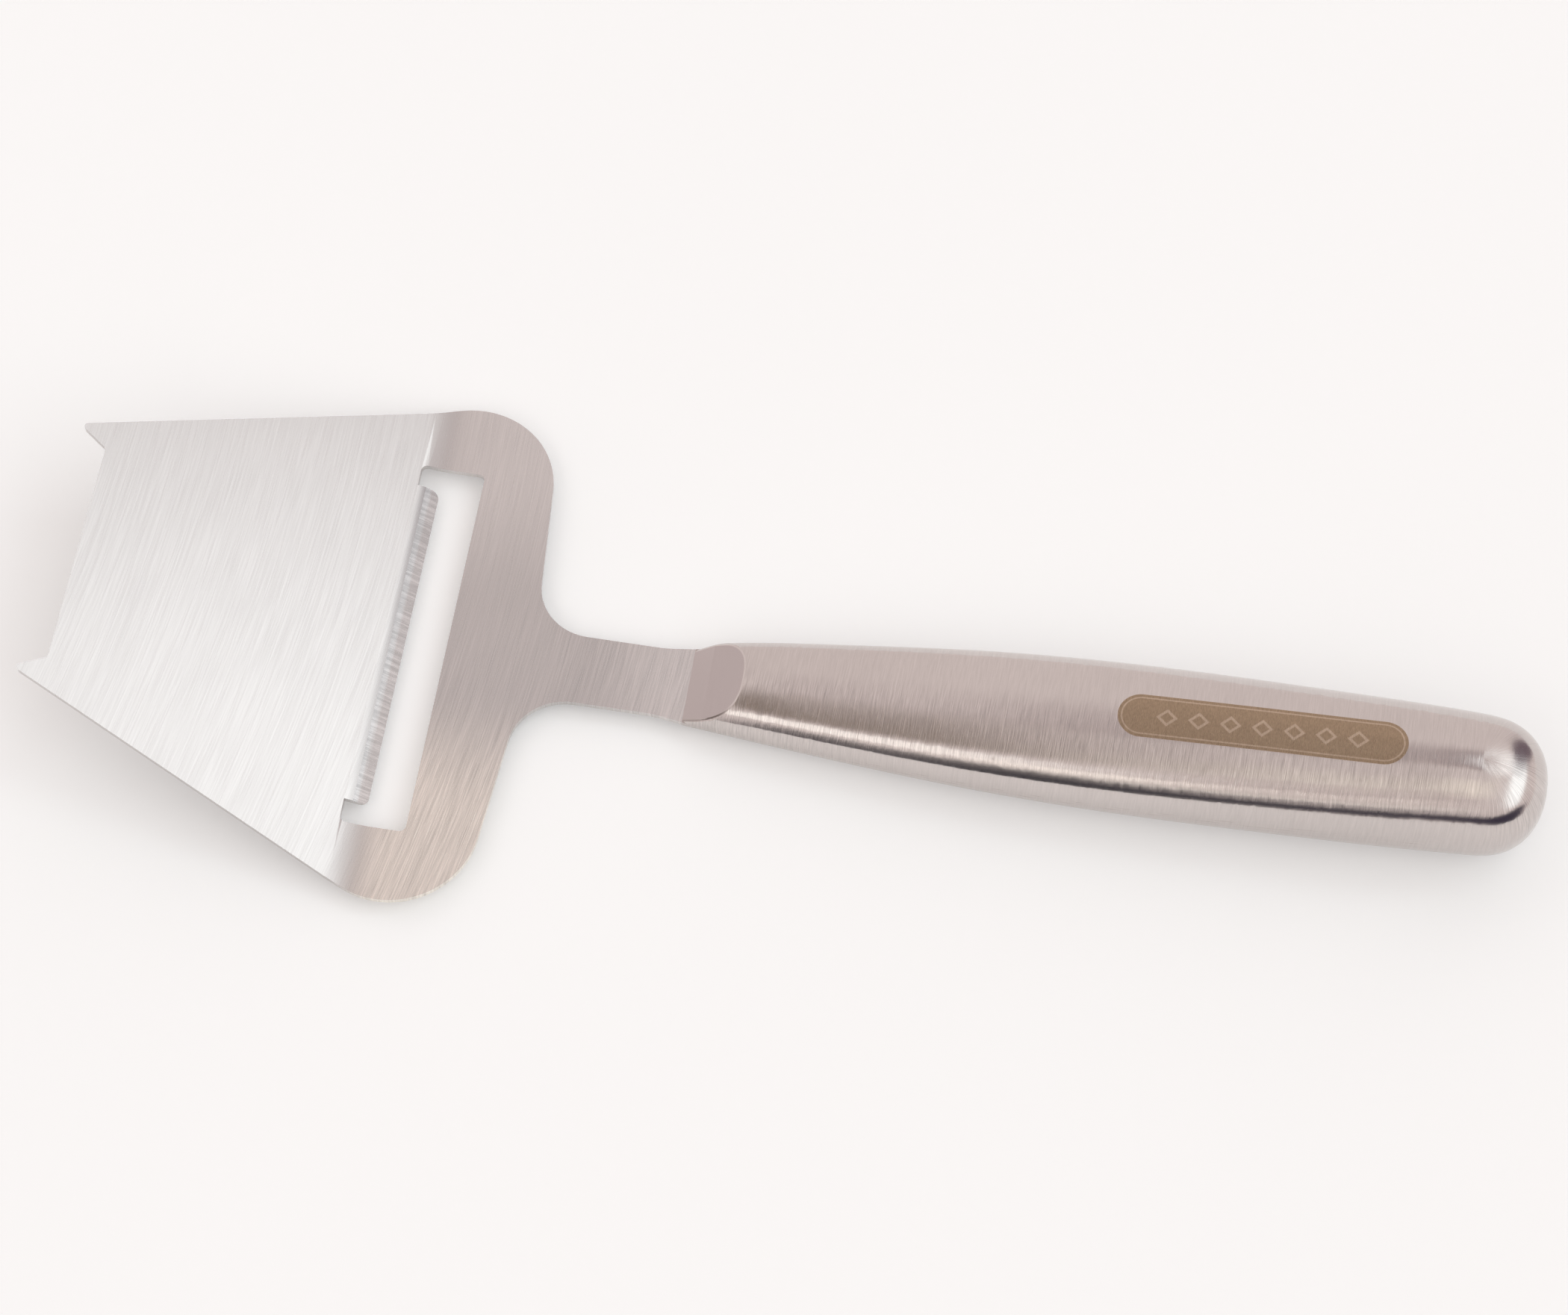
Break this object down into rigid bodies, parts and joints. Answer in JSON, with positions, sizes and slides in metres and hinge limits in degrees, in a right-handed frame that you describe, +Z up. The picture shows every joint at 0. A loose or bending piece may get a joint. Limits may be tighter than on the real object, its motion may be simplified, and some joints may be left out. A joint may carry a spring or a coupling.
{
  "type": "cheese slicer",
  "caption": "Stainless steel cheese plane: stamped trapezoid head with a cross slot and ground blade lip, flat neck welded to a hollow rounded handle.",
  "frame": {"origin": "middle of the slicer's overall box, on the surface that the handle's flat underside rests on", "axes": "+X from the head's prongs to the handle's end, +Y across the head, +Z up out of the head's upper face"},
  "size_m": [0.2218, 0.0826, 0.0193],
  "materials": {
    "plate_steel": "fine brushed across the head, ground bevel at the blade",
    "handle_steel": "satin brushed across the handle",
    "weld_steel": "smooth ground weld"
  },
  "bodies": {
    "root": {"slicer_plate": "plate_steel", "handle_upper_shell": "handle_steel", "handle_lower_shell": "handle_steel", "handle_seam_weld": "handle_steel", "neck_top_weld": "weld_steel", "neck_under_weld": "weld_steel"}
  },
  "joints": []
}
